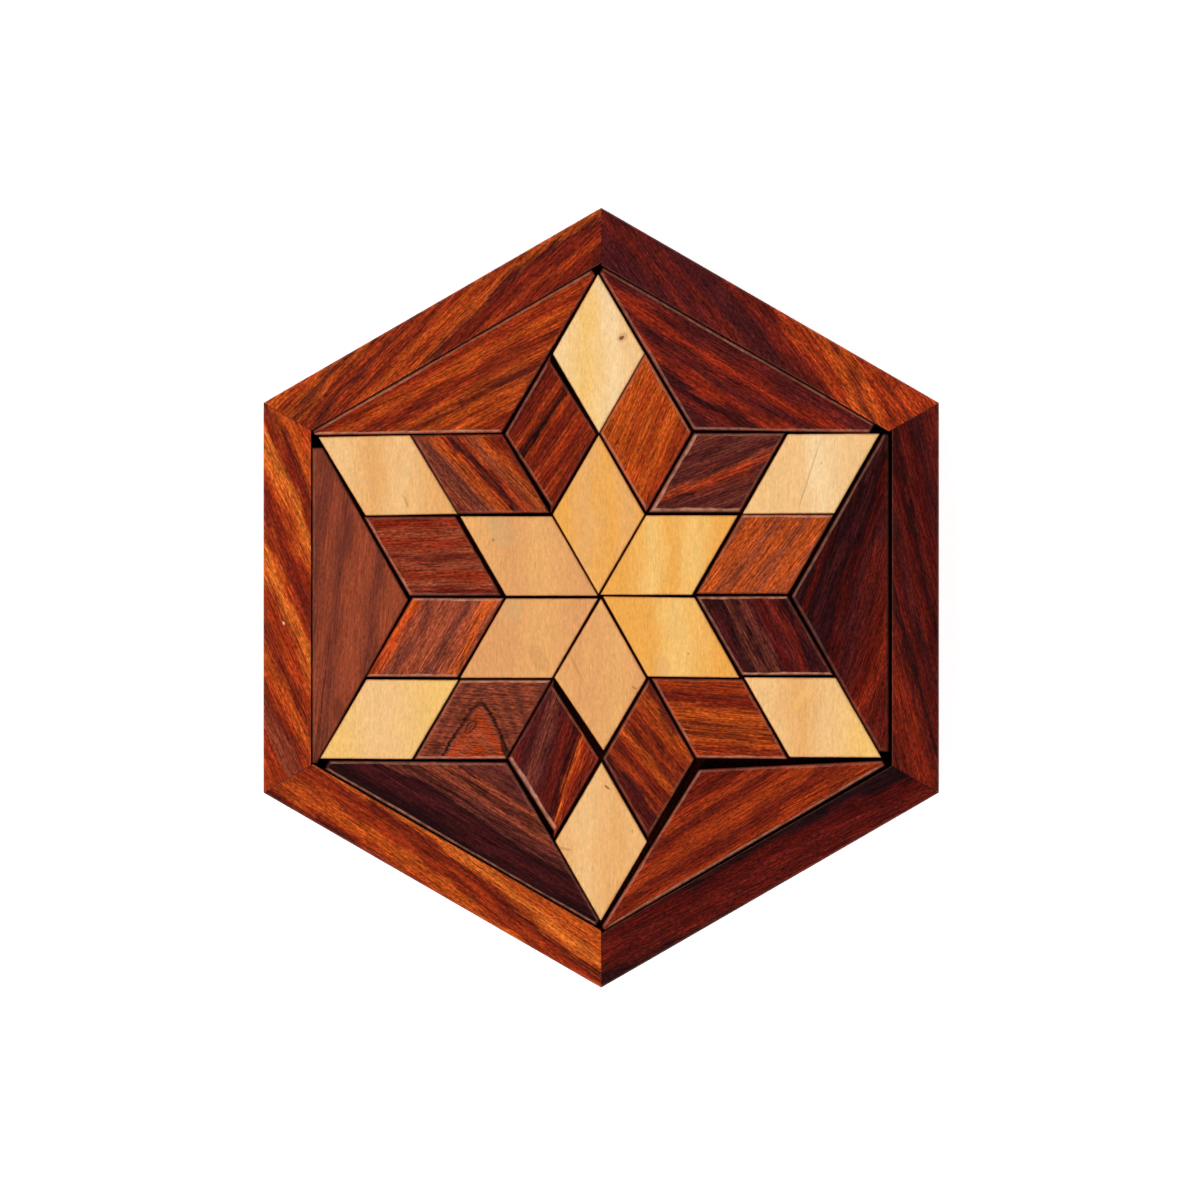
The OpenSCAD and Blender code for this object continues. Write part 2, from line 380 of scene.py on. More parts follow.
PALE = {
    "inner_diamond_1": ("-9 honey, -6 wheat, -2 honey, 2 wheat, 6 honey, 9 honey", ()),
    "inner_diamond_2": (
        "-9 peach, -3 wheat, 2 peach, 9 wheat",
        ((3.1, 6.9, 0.35, 0.25, 30, "burnt", 0.8), (5, 5.5, 3.5, 2.5, 20, "sage", 0.35)),
    ),
    "inner_diamond_3": (
        "-9 peach, -2 wheat, 4 peach, 9 peach",
        ((6, 3, 3, 2, 0, "sage", 0.3), (-4, -2, 3, 1.5, 30, "burnt", 0.15)),
    ),
    "inner_diamond_4": (
        "-9 peach, -3 wheat, 3 peach, 9 wheat",
        (
            (-2.6, -6.6, 0.5, 0.2, 60, "burnt", 0.6),
            (-3.6, -7.2, 0.4, 0.25, 20, "burnt", 0.6),
            (2, 5, 3, 0.3, 25, "burnt", 0.2),
        ),
    ),
    "inner_diamond_5": (
        "-9 honey, 0 straw, 5 honey, 9 honey",
        ((-3.2, -3.3, 0.25, 0.2, 0, "burnt", 0.6), (-6, 2, 2.5, 2, 0, "peach", 0.4)),
    ),
    "inner_diamond_6": (
        "-9 honey, -4 straw, 0 honey, 4 straw, 9 honey",
        ((-5, 1, 0.2, 0.15, 0, "burnt", 0.4),),
    ),
    "tip_diamond_1": (
        "-9 cream, -3 milk, 2 straw, 9 milk",
        ((3.0, -4.4, 0.5, 0.3, -60, "umber", 0.9), (3.0, -4.4, 1.1, 0.7, -60, "burnt", 0.3)),
    ),
    "tip_diamond_2": (
        "-9 wheat, -2 cream, 3 wheat, 9 cream",
        ((-5, -3.5, 1.2, 0.25, 20, "burnt", 0.35), (0, 3, 3, 1, 0, "peach", 0.3)),
    ),
    "tip_diamond_3": ("-9 straw, 0 cream, 4 cream, 9 straw", ()),
    "tip_diamond_4": (
        "-9 cream, -3 wheat, 3 cream, 9 wheat",
        (
            (10.4, -1.2, 0.7, 0.25, 50, "burnt", 0.8),
            (-1.4, 7, 1.8, 0.25, 80, "burnt", 0.35),
            (2, -6, 0.4, 0.2, 0, "burnt", 0.4),
        ),
    ),
    "tip_diamond_5": (
        "-9 straw, -3 cream, 3 wheat, 9 cream",
        ((4, 2, 3, 0.8, -30, "straw", 0.5),),
    ),
    "tip_diamond_6": (
        "-9 cream, -2 milk, 1 cream, 9 cream",
        ((-0.7, 0.5, 6.5, 0.16, -18, "burnt", 0.35), (2, -2, 0.3, 0.2, 0, "burnt", 0.4)),
    ),
}
for name, (bands, marks) in PALE.items():
    WOODS[name] = Wood(
        90,
        bands,
        wander=3,
        streaks=0.0,
        fibre=0.12,
        lines=0.04,
        pores=0.07,
        flecks=0.06,
        marks=marks,
        fine=(0.5, 1.7),
        rim="milk",
        kerf="burnt",
    )


def tone(name, description, hex_code):
    """A colour setting for one tone, from its six hex digits."""
    return bpy.props.FloatVectorProperty(
        name=name, description=description, subtype="COLOR", default=linear(hex_code)
    )


class ToneSettings(bpy.types.PropertyGroup):
    """The tones of the woods, from near black to cream, and of the steel."""

    ink: tone("Ink", "Blue-black lines of the dark woods", "1d0507")
    plum: tone("Plum", "Dark violet bands", "3f1112")
    oxblood: tone("Oxblood", "Darkest red bands", "4a0a05")
    maroon: tone("Maroon", "Dark red bands", "5d170d")
    umber: tone("Umber", "Dark brown bands", "612b20")
    brick: tone("Brick", "Red bands", "7d210b")
    brown: tone("Brown", "Middle brown bands", "883d25")
    rust: tone("Rust", "Red-orange bands", "9b340f")
    orange: tone("Orange", "Orange bands", "b54a14")
    amber: tone("Amber", "Lightest bands of the dark woods", "cd6622")
    # Clay pales the dark pieces' rims: rubbed wear and painted highlight.
    clay: tone("Clay", "Rubbed rims of the dark pieces", "c98c70")
    burnt: tone("Burnt", "Marks and sawn sides of the pale pieces", "9a5220")
    sage: tone("Sage", "Greenish patches of the pale wood", "c4a674")
    peach: tone("Peach", "Pinkish pale wood", "de9d63")
    wheat: tone("Wheat", "Middle pale wood", "e6a967")
    honey: tone("Honey", "Yellow pale wood", "eba64e")
    straw: tone("Straw", "Light yellow pale wood", "f0bf70")
    cream: tone("Cream", "Light pale wood", "eebd80")
    # Milk also pales the pale pieces' rims: rubbed wear and painted highlight.
    milk: tone("Milk", "Lightest pale wood and its rubbed rims", "f3cf9c")
    steel: tone("Steel", "The pins", "ada9a4")
    tarnish: tone("Tarnish", "Duller spots on the pins", "898278")


class StageSettings(bpy.types.PropertyGroup):
    """The floor, the light and the camera."""

    floor: bpy.props.FloatVectorProperty(
        name="Floor",
        description="Colour of the floor",
        subtype="COLOR",
        default=linear("fbfafa"),
    )
    camera_height: bpy.props.FloatProperty(
        name="Camera height",
        description="Height of the camera over the tray",
        subtype="DISTANCE",
        default=1.6,
    )
    picture_width: bpy.props.FloatProperty(
        name="Picture width",
        description="Width of the view at the top of the tray",
        subtype="DISTANCE",
        default=0.2309,
    )


class PieceSettings(bpy.types.PropertyGroup):
    """How the pieces' edges were worked by hand."""

    dark_ease: bpy.props.FloatProperty(
        name="Dark diamonds' bevel",
        description="Width of the bevel on the dark diamonds",
        subtype="DISTANCE",
        default=0.6 * MM,
    )
    pale_ease: bpy.props.FloatProperty(
        name="Pale diamonds' bevel",
        description="Width of the bevel on the pale diamonds",
        subtype="DISTANCE",
        default=0.38 * MM,
    )
    triangle_ease: bpy.props.FloatProperty(
        name="Triangles' bevel",
        description="Width of the bevel on the edge triangles",
        subtype="DISTANCE",
        default=0.65 * MM,
    )
    rail_ease: bpy.props.FloatProperty(
        name="Rails' bevel",
        description="Width of the bevel along the rails",
        subtype="DISTANCE",
        default=0.4 * MM,
    )
    corner: bpy.props.FloatProperty(
        name="Corner",
        description="How far a loose piece's upright edges are rounded",
        subtype="DISTANCE",
        default=0.25 * MM,
    )
    crown: bpy.props.FloatProperty(
        name="Crown",
        description="How much a sanded face falls away towards its edges",
        subtype="DISTANCE",
        default=0.04 * MM,
    )


class Tree:
    """A material's nodes, with a short call for each kind that the finishes use."""

    def __init__(self, name):
        self.material = bpy.data.materials.new(name)
        self.material.use_nodes = True
        self.nodes = self.material.node_tree.nodes
        self.links = self.material.node_tree.links
        self.nodes.clear()

    def add(self, kind, inputs=(), **settings):
        """A new node; inputs pairs a socket's name or number with a value or an output."""
        node = self.nodes.new("ShaderNode" + kind)
        for key, value in settings.items():
            setattr(node, key, value)
        for socket, value in dict(inputs).items():
            if isinstance(value, bpy.types.NodeSocket):
                self.links.new(value, node.inputs[socket])
            else:
                node.inputs[socket].default_value = value
        return node

    def sum(self, operation, a, b=0.0):
        """One arithmetic step on two numbers."""
        return self.add("Math", {0: a, 1: b}, operation=operation).outputs[0]

    def scaled(self, value, low, high, to_low=0.0, to_high=1.0, kind="SMOOTHSTEP"):
        """A number taken from one range to another, and held inside it."""
        node = self.add(
            "MapRange",
            {0: value, 1: low, 2: high, 3: to_low, 4: to_high},
            interpolation_type=kind,
        )
        return node.outputs[0]

    def mix(self, share, a, b):
        """Colour a, with this share of it turned to colour b."""
        node = self.add("Mix", {0: share, 6: a, 7: b}, data_type="RGBA")
        return node.outputs[2]

    def mapped(self, vector, kind, location=(0, 0, 0), rotation=(0, 0, 0), scale=(1, 1, 1)):
        """A place moved, turned and scaled."""
        node = self.add(
            "Mapping",
            {"Vector": vector, "Location": location, "Rotation": rotation, "Scale": scale},
            vector_type=kind,
        )
        return node.outputs[0]

    def noise(self, vector, along, across, seed, detail=2.0, rough=0.5):
        """Smooth noise with so many waves per millimetre along and across the grain."""
        place = self.mapped(
            vector, "POINT", location=(seed, 0, 0), scale=(along, across, across)
        )
        node = self.add(
            "TexNoise", {"Vector": place, "Scale": 1.0, "Detail": detail, "Roughness": rough}
        )
        return node.outputs[0]

    def ramp(self, value, bands):
        """The tone at a place across the grain, blended between the bands given."""
        pairs = [part.split() for part in bands.split(",")]
        stops = sorted((float(at), tone) for at, tone in pairs)
        low, high = stops[0][0], stops[-1][0]
        share = self.scaled(value, low, high, kind="LINEAR")
        node = self.add("ValToRGB", {0: share})
        elements = node.color_ramp.elements
        for at, tone in stops[1:-1]:
            elements.new((at - low) / (high - low))
        for element, (at, tone) in zip(elements, stops):
            element.color = tone_colour(tone)
        return node.outputs[0]

    def finish(self, colour, roughness, height, depth, **sockets):
        """The surface shader, with its bump, and the output."""
        bump = self.add("Bump", {"Distance": depth, "Height": height, "Strength": 1.0})
        shader = self.add(
            "BsdfPrincipled",
            {
                "Base Color": colour,
                "Roughness": roughness,
                "Normal": bump.outputs[0],
                **sockets,
            },
        )
        self.add("OutputMaterial", {0: shader.outputs[0]})
        return self.material


def tone_colour(tone):
    """A tone from the settings as a colour with full cover."""
    return (*getattr(bpy.context.scene.star_tray_tones, tone), 1.0)


def wood_material(name, middle, wood, seed, roughness):
    """Wood whose colour is a ramp across the grain. The place across is bent by a share of
    a power of the place along and moved by slow, small and hair-fine noise, all drawn
    out along the grain. Fibres, pores, flecks, hair lines and marks are laid on that, and
    on upright faces the finest of them are calmed and the light is taken down a little. The
    rim attribute pales the colour, partly as rubbed wear and partly as painted highlight on
    the bevels, and the kerf attribute browns the sawn sides."""
    t = Tree(name)
    coordinates = t.add("TexCoord")
    facing_up = t.add("SeparateXYZ", {0: coordinates.outputs["Normal"]}).outputs[2]
    level = t.sum("ABSOLUTE", facing_up)
    place = t.mapped(
        coordinates.outputs["Object"],
        "TEXTURE",
        location=middle,
        rotation=(0, 0, math.radians(wood.turn)),
        scale=(MM, MM, MM),
    )
    split = t.add("SeparateXYZ", {0: place})
    along, across, up = split.outputs
    off_top = t.sum("ABSOLUTE", t.sum("SUBTRACT", along, wood.bow_at))
    bent = t.sum("MULTIPLY", t.sum("POWER", off_top, wood.bow_power), wood.bow)
    across = t.sum("ADD", t.sum("ADD", across, bent), t.sum("MULTIPLY", up, 2.2))
    slow = t.noise(place, 0.03, 0.1, seed)
    small = t.noise(place, 0.12, 0.5, seed + 3)
    hair = t.noise(place, 0.12, 2.4, seed + 5, detail=3.0, rough=0.65)
    for part, reach in ((slow, 2 * wood.wander), (small, 2 * wood.ripple), (hair, 2.0)):
        moved = t.scaled(part, 0.2, 0.8, -reach / 2, reach / 2, kind="LINEAR")
        across = t.sum("ADD", across, moved)
    colour = t.ramp(across, wood.bands)
    blurred = t.ramp(t.sum("ADD", across, t.scaled(small, 0.2, 0.8, -2.5, 2.5)), wood.bands)
    colour = t.mix(0.22, colour, blurred)

    streak = t.noise(place, 0.07, 1.5, seed + 29, detail=3.0, rough=0.6)
    dark_streak = t.scaled(streak, 0.5, 0.34, 0.0, wood.streaks)
    colour = t.mix(dark_streak, colour, tone_colour("ink"))
    bright = t.add("VectorMath", {0: colour, 3: 1.55}, operation="SCALE").outputs[0]
    colour = t.mix(t.scaled(streak, 0.52, 0.66, 0.0, wood.streaks), colour, bright)

    fibre = t.noise(place, *wood.fine, seed + 8, detail=3.0, rough=0.7)
    cloud = t.noise(place, 0.1, 0.4, seed + 11)
    speck = t.noise(place, 1.2, 3.6, seed + 26, detail=1.0)
    low, high = wood.light * (1 - wood.fibre), wood.light * (1 + wood.fibre)
    light = t.sum(
        "MULTIPLY",
        t.scaled(fibre, 0.25, 0.75, low, high, kind="LINEAR"),
        t.scaled(cloud, 0.25, 0.75, 1 - wood.fibre / 3, 1 + wood.fibre / 3, kind="LINEAR"),
    )
    reach = 0.7 * wood.fibre
    speckled = t.scaled(speck, 0.25, 0.75, -reach, reach, kind="LINEAR")
    calmed = t.sum("MULTIPLY", speckled, t.scaled(level, 0.0, 1.0, 0.25, 1.0))
    light = t.sum("MULTIPLY", light, t.sum("ADD", calmed, 1.0))
    light = t.sum("MULTIPLY", light, t.scaled(level, 0.0, 1.0, 0.78, 1.0))
    colour = t.add("VectorMath", {0: colour, 3: light}, operation="SCALE").outputs[0]

    contour = t.sum("ABSOLUTE", t.sum("SUBTRACT", t.noise(place, 0.025, 0.8, seed + 14), 0.5))
    hair_line = t.scaled(contour, 0.022, 0.0, 0.0, wood.lines)
    dark_tone = t.add("VectorMath", {0: colour, 3: 0.25}, operation="SCALE").outputs[0]
    colour = t.mix(hair_line, colour, dark_tone)
    pore = t.scaled(t.noise(place, 0.4, 3.4, seed + 17, detail=1.0), 0.58, 0.7)
    colour = t.mix(t.sum("MULTIPLY", pore, wood.pores), colour, dark_tone)
    fleck = t.scaled(t.noise(place, 0.5, 3.2, seed + 20, detail=1.0), 0.6, 0.72)
    light_tone = t.add("VectorMath", {0: colour, 3: 1.8}, operation="SCALE").outputs[0]
    colour = t.mix(t.sum("MULTIPLY", fleck, wood.flecks), colour, light_tone)

    for mark in wood.marks:
        mark_along, mark_across, half_length, half_width, turn, tone, strength = mark
        spot = t.mapped(
            place,
            "TEXTURE",
            location=(mark_along, mark_across, 0),
            rotation=(0, 0, math.radians(turn)),
            scale=(half_length, half_width, 3),
        )
        reach = t.add("VectorMath", {0: spot}, operation="LENGTH").outputs["Value"]
        reach = t.sum("ADD", reach, t.scaled(small, 0.2, 0.8, -0.3, 0.3))
        colour = t.mix(t.scaled(reach, 1.2, 0.7, 0.0, strength), colour, tone_colour(tone))

    patchy = t.scaled(t.noise(place, 0.7, 0.7, seed + 23), 0.3, 0.7, 0.45, 1.0)
    # The rim share pales the colour with rubbed wear and painted highlight; the kerf share browns
    # the sawn sides.
    for attribute, tone in (("kerf", wood.kerf), ("rim", wood.rim)):
        share = t.add("Attribute", attribute_name=attribute).outputs["Fac"]
        colour = t.mix(t.sum("MULTIPLY", share, patchy), colour, tone_colour(tone))

    dull = t.scaled(fibre, 0.3, 0.7, roughness - 0.06, roughness + 0.06, kind="LINEAR")
    dull = t.sum("ADD", dull, t.sum("MULTIPLY", pore, 0.2))
    height = t.sum("SUBTRACT", fibre, t.sum("MULTIPLY", pore, 0.8))
    return t.finish(colour, dull, height, 0.03 * MM, **{"Specular IOR Level": 0.06})


def seeded_waves(seed, count):
    """A smooth wandering line: three sine waves of set lengths, their starts drawn from a
    seeded generator, at count even places from 0 to 1."""
    starts = np.random.default_rng(seed).uniform(0, 2 * math.pi, 3)
    places = np.linspace(0, 1, count)[:, None]
    return (np.sin(2 * math.pi * places * [1, 2.7, 6.3] + starts) * [0.5, 0.3, 0.2]).sum(1)


def node_points(node):
    """The corner points of a CAD node, one row for each."""
    mesh = frame["nodes"][node].data
    points = np.zeros(len(mesh.vertices) * 3)
    mesh.vertices.foreach_get("co", points)
    return points.reshape(-1, 3)


def outline_of(node):
    """The outline of a flat piece from above: the hull of its points, without the points
    whose two edges run in the same direction or that lie against another."""
    points = node_points(node)[:, :2]
    hull = points[geometry.convex_hull_2d([Vector(p) for p in points])]
    apart = np.linalg.norm(hull - np.roll(hull, 1, 0), axis=1) > 0.05 * MM
    hull = hull[apart]
    before, after = hull - np.roll(hull, 1, 0), np.roll(hull, -1, 0) - hull
    before /= np.linalg.norm(before, axis=1)[:, None]
    after /= np.linalg.norm(after, axis=1)[:, None]
    turn = before[:, 0] * after[:, 1] - before[:, 1] * after[:, 0]
    hull = hull[np.abs(turn) > 0.01]
    return hull if turn.sum() > 0 else hull[::-1]


def drawn_in(outline, inset):
    """The corners of the outline when each edge is moved inwards by its own inset: where
    each moved edge meets the one before it."""
    edge = np.roll(outline, -1, 0) - outline
    edge /= np.linalg.norm(edge, axis=1)[:, None]
    normal = np.stack([-edge[:, 1], edge[:, 0]], 1)
    level = (normal * outline).sum(1) + inset
    last_normal, last_level = np.roll(normal, 1, 0), np.roll(level, 1)
    area = last_normal[:, 0] * normal[:, 1] - last_normal[:, 1] * normal[:, 0]
    x = (last_level * normal[:, 1] - level * last_normal[:, 1]) / area
    y = (last_normal[:, 0] * level - normal[:, 0] * last_level) / area
    return np.stack([x, y], 1)


def eased_block(outline, low, high, widths, rub_and_highlight, settings, seed):
    """A flat block as a grid: round its outline by level. Each level is the outline drawn in
    by a share of each edge's bevel width, with its corners rounded by a quadratic curve.
    The bevel follows a power of a quarter circle, its width wanders along each edge, and
    the faces are the last level shrunk towards the middle in steps, with a slight crown.
    The rim attribute, partly rubbed wear and partly painted highlight, peaks two thirds up
    the bevel, and the kerf attribute fades up it."""
    sides = len(outline)
    lengths = np.linalg.norm(np.roll(outline, -1, 0) - outline, axis=1)
    step_length, least_steps = 0.8 * MM, 6
    counts = np.maximum((lengths / step_length).astype(int), least_steps)
    curve = np.linspace(0, 1, 5)[:, None]

    quarter = np.linspace(0, math.pi / 2, 7)
    bevel_in = 1 - np.cos(quarter) ** 1.5
    bevel_up = 1 - np.sin(quarter) ** 1.5
    bevel_rim = np.sin(2 * quarter) * np.sin(quarter) ** 2 / 0.65
    bevel_kerf = np.cos(quarter) ** 4
    ins = np.concatenate([bevel_in[::-1], [0.0, 0.0], bevel_in])
    rises = np.concatenate([bevel_up[::-1], [1.3, 1.3], bevel_up])
    tops = np.concatenate([np.zeros(8), np.ones(8)])
    rim_at = np.concatenate([bevel_rim[::-1], [0.0, 0.0], bevel_rim])
    kerf_at = np.concatenate([bevel_kerf[::-1], [1.0, 1.0], bevel_kerf])

    middle = outline.mean(0)
    rows, rims, kerfs = [], [], []
    for share, rise, top, rim, kerf in zip(ins, rises, tops, rim_at, kerf_at):
        corners = drawn_in(outline, share * widths)
        edge = np.roll(corners, -1, 0) - corners
        edge /= np.linalg.norm(edge, axis=1)[:, None]
        row, height, rub_and_highlight_row = [], [], []
        for i in range(sides):
            corner, width, last = corners[i], widths[i], widths[i - 1]
            start, end = corner - edge[i - 1] * settings.corner, corner + edge[i] * settings.corner
            row.append((1 - curve) ** 2 * start + 2 * curve * (1 - curve) * corner + curve**2 * end)
            blend = last + (width - last) * curve[:, 0]
            height.append(blend)
            rub_and_highlight_row.append(rub_and_highlight[i - 1] + (rub_and_highlight[i] - rub_and_highlight[i - 1]) * curve[:, 0])
            following = corners[(i + 1) % sides] - edge[i] * settings.corner
            along = np.linspace(0, 1, counts[i] + 2)[1:-1, None]
            wave = seeded_waves(seed * 31 + i, counts[i]) * np.sin(math.pi * along[:, 0]) ** 0.5
            extra = 0.22 * width * wave
            inward = np.array([-edge[i][1], edge[i][0]])
            row.append(end + (following - end) * along + inward * (share * extra)[:, None])
            height.append(width + extra)
            rub_and_highlight_row.append(rub_and_highlight[i] * (1 + 0.25 * wave))
        row, height = np.concatenate(row), np.concatenate(height)
        drop = np.clip(rise, 0, None) * height + settings.crown
        z = high - drop if top else low + drop
        rows.append(np.column_stack([row, z]))
        # Rim share along the bevel: rubbed wear and painted highlight.
        rims.append(np.concatenate(rub_and_highlight_row) * rim)
        kerfs.append(np.full(len(row), kerf))
    first, last = rows[0], rows[-1]
    around = len(first)

    def face(ring, level, sign):
        """Rings from the middle of a face out to its edge."""
        shares = np.array([0.03, 0.3, 0.6, 0.85, 0.97])
        out = []
        for share in shares:
            flat = middle + (ring[:, :2] - middle) * share
            z = np.full(around, level - sign * settings.crown * share**2)
            out.append(np.column_stack([flat, z]))
        return out

    bottom, upper = face(first, low, -1), face(last, high, 1)[::-1]
    rings = bottom + rows + upper
    points = np.concatenate(rings + [[[*middle, low]], [[*middle, high]]])
    plain = [np.zeros(around)] * len(bottom)
    rims = np.concatenate(plain + rims + plain + [[0.0, 0.0]])
    kerfs = np.concatenate(plain + kerfs + plain + [[0.0, 0.0]])

    step = np.arange(around)
    ahead = (step + 1) % around
    faces = []
    for level in range(len(rings) - 1):
        a, b = level * around, (level + 1) * around
        faces += np.stack([step + a, ahead + a, ahead + b, step + b], 1).tolist()
    top_ring = (len(rings) - 1) * around
    faces += np.stack([ahead, step, np.full(around, len(points) - 2)], 1).tolist()
    faces += np.stack(
        [step + top_ring, ahead + top_ring, np.full(around, len(points) - 1)], 1
    ).tolist()
    return points, faces, {"rim": rims, "kerf": kerfs}


def rounded_loop(corners, radii, steps):
    """A closed outline with its corners rounded by quadratic curves, each side divided
    into even steps, and how near each point is to a rounded corner."""
    corners = np.array(corners)
    before = np.roll(corners, 1, 0) - corners
    after = np.roll(corners, -1, 0) - corners
    sizes = np.linalg.norm(after, axis=1)
    before /= np.linalg.norm(before, axis=1)[:, None]
    after /= sizes[:, None]
    curve = np.linspace(0, 1, 6)[:, None]
    points, nearness = [], []
    for i in range(len(corners)):
        start, end = corners[i] + before[i] * radii[i], corners[i] + after[i] * radii[i]
        bend = (1 - curve) ** 2 * start + curve**2 * end
        points.append(bend + 2 * curve * (1 - curve) * corners[i])
        nearness.append(np.sin(math.pi * curve[:, 0]) ** 0.5)
        j = (i + 1) % len(corners)
        finish = corners[j] - after[i] * radii[j]
        along = np.linspace(0, 1, steps[i] + 2)[1:-1, None]
        points.append(end + (finish - end) * along)
        nearness.append(np.zeros(steps[i]))
    return np.concatenate(points), np.concatenate(nearness)


def mitred_rail(turn, inner, outer, rebate, board, height, mitre, ease):
    """A rail's section carried along the rail. The section is a rounded loop of distance
    out and height; at each place along it reaches to the mitre, which is the distance out
    less the glue line, times the tangent of 30 degrees. The last steps draw the section in
    a little, so that the mitre's edges are softened, and flat fans close the ends. The kerf
    attribute browns a narrow line along each mitre."""
    small = 0.1 * MM
    corners = [
        (rebate, 0), (outer, 0), (outer, height), (inner, height), (inner, board), (rebate, board)
    ]
    radii = [small, ease, ease, ease / 2, small, small / 2]
    loop, nearness = rounded_loop(corners, radii, [6, 14, 10, 10, 4, 4])
    between = np.linspace(-1, 1, 90)[1:-1].tolist()
    plain = [0.0] * len(between)
    soft = 0.04 * MM
    line = 0.16 * MM
    tangent = math.tan(math.radians(30))
    half = (outer - mitre) * tangent
    places = [-1.0, -1 + soft / half, -1 + line / half]
    places += between + [1 - line / half, 1 - soft / half, 1.0]
    draws = [soft, 0.0, 0.0] + plain + [0.0, 0.0, soft]
    kerfs = [0.9, 0.8, 0.0] + plain + [0.0, 0.8, 0.9]
    hand_wave = 0.03 * MM
    waves = seeded_waves(int(turn * 7), len(places)) * hand_wave
    inward = loop.mean(0) - loop
    inward /= np.linalg.norm(inward, axis=1)[:, None]
    rings = []
    for place, draw, wave in zip(places, draws, waves):
        section = loop + inward * (draw + nearness[:, None] * (hand_wave + wave))
        reach = (section[:, 0] - mitre) * tangent
        rings.append(np.column_stack([section[:, 0], place * reach, section[:, 1]]))
    around = len(loop)
    points = np.concatenate(rings)
    ends = [rings[0].mean(0), rings[-1].mean(0)]
    points = np.concatenate([points, ends])
    # Rims pale near the rounded corners: rubbed wear and painted highlight.
    rims = np.concatenate([np.tile(nearness, len(rings)), [0.0, 0.0]])
    step = np.arange(around)
    ahead = (step + 1) % around
    faces = []
    for level in range(len(rings) - 1):
        a, b = level * around, (level + 1) * around
        faces += np.stack([step + a, step + b, ahead + b, ahead + a], 1).tolist()
    last = (len(rings) - 1) * around
    faces += np.stack([step, ahead, np.full(around, len(points) - 2)], 1).tolist()
    faces += np.stack([ahead + last, step + last, np.full(around, len(points) - 1)], 1).tolist()
    cosine, sine = math.cos(turn), math.sin(turn)
    turned = points.copy()
    turned[:, 0] = points[:, 0] * cosine - points[:, 1] * sine
    turned[:, 1] = points[:, 0] * sine + points[:, 1] * cosine
    kerfs = np.concatenate([np.repeat(kerfs, around), [1.0, 1.0]])
    return turned, faces, {"rim": rims * RAIL_RUB_AND_HIGHLIGHT * (1 - kerfs), "kerf": kerfs}


def add_piece(node, points, faces, attributes, material):
    """Puts a finished piece in the scene in place of its CAD node, on the same body."""
    mesh = bpy.data.meshes.new(node + "_wood")
    mesh.from_pydata(points, [], faces)
    mesh.polygons.foreach_set("use_smooth", np.ones(len(mesh.polygons), bool))
    for name, values in attributes.items():
        attribute = mesh.attributes.new(name, "FLOAT", "POINT")
        attribute.data.foreach_set("value", values.astype(np.float32))
    mesh.update()
    mesh.materials.append(material)
    piece = bpy.data.objects.new(node + "_wood", mesh)
    bpy.context.scene.collection.objects.link(piece)
    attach(piece, frame["nodes"][node]["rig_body"])
    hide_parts(node)
    return piece


def top_middle(node):
    """The middle of a node's top, from its box."""
    low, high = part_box(node)
    return ((low.x + high.x) / 2, (low.y + high.y) / 2, high.z)


def by_facing(outline, text, usual):
    """A number for each edge of the outline: the usual one, or the one given with the
    direction that is nearest to the edge's own."""
    edge = np.roll(outline, -1, 0) - outline
    facing = np.degrees(np.arctan2(-edge[:, 0], edge[:, 1]))
    numbers = np.full(len(outline), usual)
    for part in filter(None, text.split(",")):
        direction, number = map(float, part.split())
        off = np.abs((facing - direction + 180) % 360 - 180)
        numbers[off.argmin()] = number
    return numbers


def add_block(node, ease, roughness):
    """A loose piece in its own wood, with the bevel widths of its edges."""
    wood = WOODS[node]
    settings = bpy.context.scene.star_tray_pieces
    outline = outline_of(node)
    widths = by_facing(outline, wood.wide, ease / MM) * MM
    rub_and_highlight = by_facing(outline, wood.rubbed_and_highlit, USUAL_RUB_AND_HIGHLIGHT)
    seed = ALL_WOOD.index(node) + 1
    low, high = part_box(node)
    piece = eased_block(outline, low.z, high.z, widths, rub_and_highlight, settings, seed)
    material = wood_material(node, top_middle(node), wood, seed * 7.3, roughness)
    return add_piece(node, *piece, material)


class STARTRAY_OT_rails(bpy.types.Operator):
    """Makes the six mitred rails"""

    bl_idname = "star_tray.rails"
    bl_label = "Rails"

    def execute(self, context):
        settings = context.scene.star_tray_pieces
        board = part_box("base_board")[1].z
        for n, node in enumerate(RAILS, start=1):
            turn = math.radians(60 + 60 * n)
            points = node_points(node)
            out = points[:, 0] * math.cos(turn) + points[:, 1] * math.sin(turn)
            side = points[:, 1] * math.cos(turn) - points[:, 0] * math.sin(turn)
            rebate = out[points[:, 2] < 1 * MM].min()
            mitre = out.max() - side.max() / math.tan(math.radians(30))
            height = points[:, 2].max()
            piece = mitred_rail(
                turn,
                out.min(),
                out.max(),
                rebate,
                board,
                height,
                mitre * GLUE_SHARE,
                settings.rail_ease,
            )
            material = wood_material(node, top_middle(node), WOODS[node], n * 7.3, 0.45)
            add_piece(node, *piece, material)
        return {"FINISHED"}


class STARTRAY_OT_inner_diamonds(bpy.types.Operator):
    """Makes the pale diamonds that meet in the middle"""

    bl_idname = "star_tray.inner_diamonds"
    bl_label = "Inner diamonds"

    def execute(self, context):
        ease = context.scene.star_tray_pieces.pale_ease
        for node in INNER_DIAMONDS:
            add_block(node, ease, 0.5)
        return {"FINISHED"}


class STARTRAY_OT_tip_diamonds(bpy.types.Operator):
    """Makes the pale diamonds at the star's points"""

    bl_idname = "star_tray.tip_diamonds"
    bl_label = "Tip diamonds"

    def execute(self, context):
        ease = context.scene.star_tray_pieces.pale_ease
        for node in TIP_DIAMONDS:
            add_block(node, ease, 0.5)
        return {"FINISHED"}


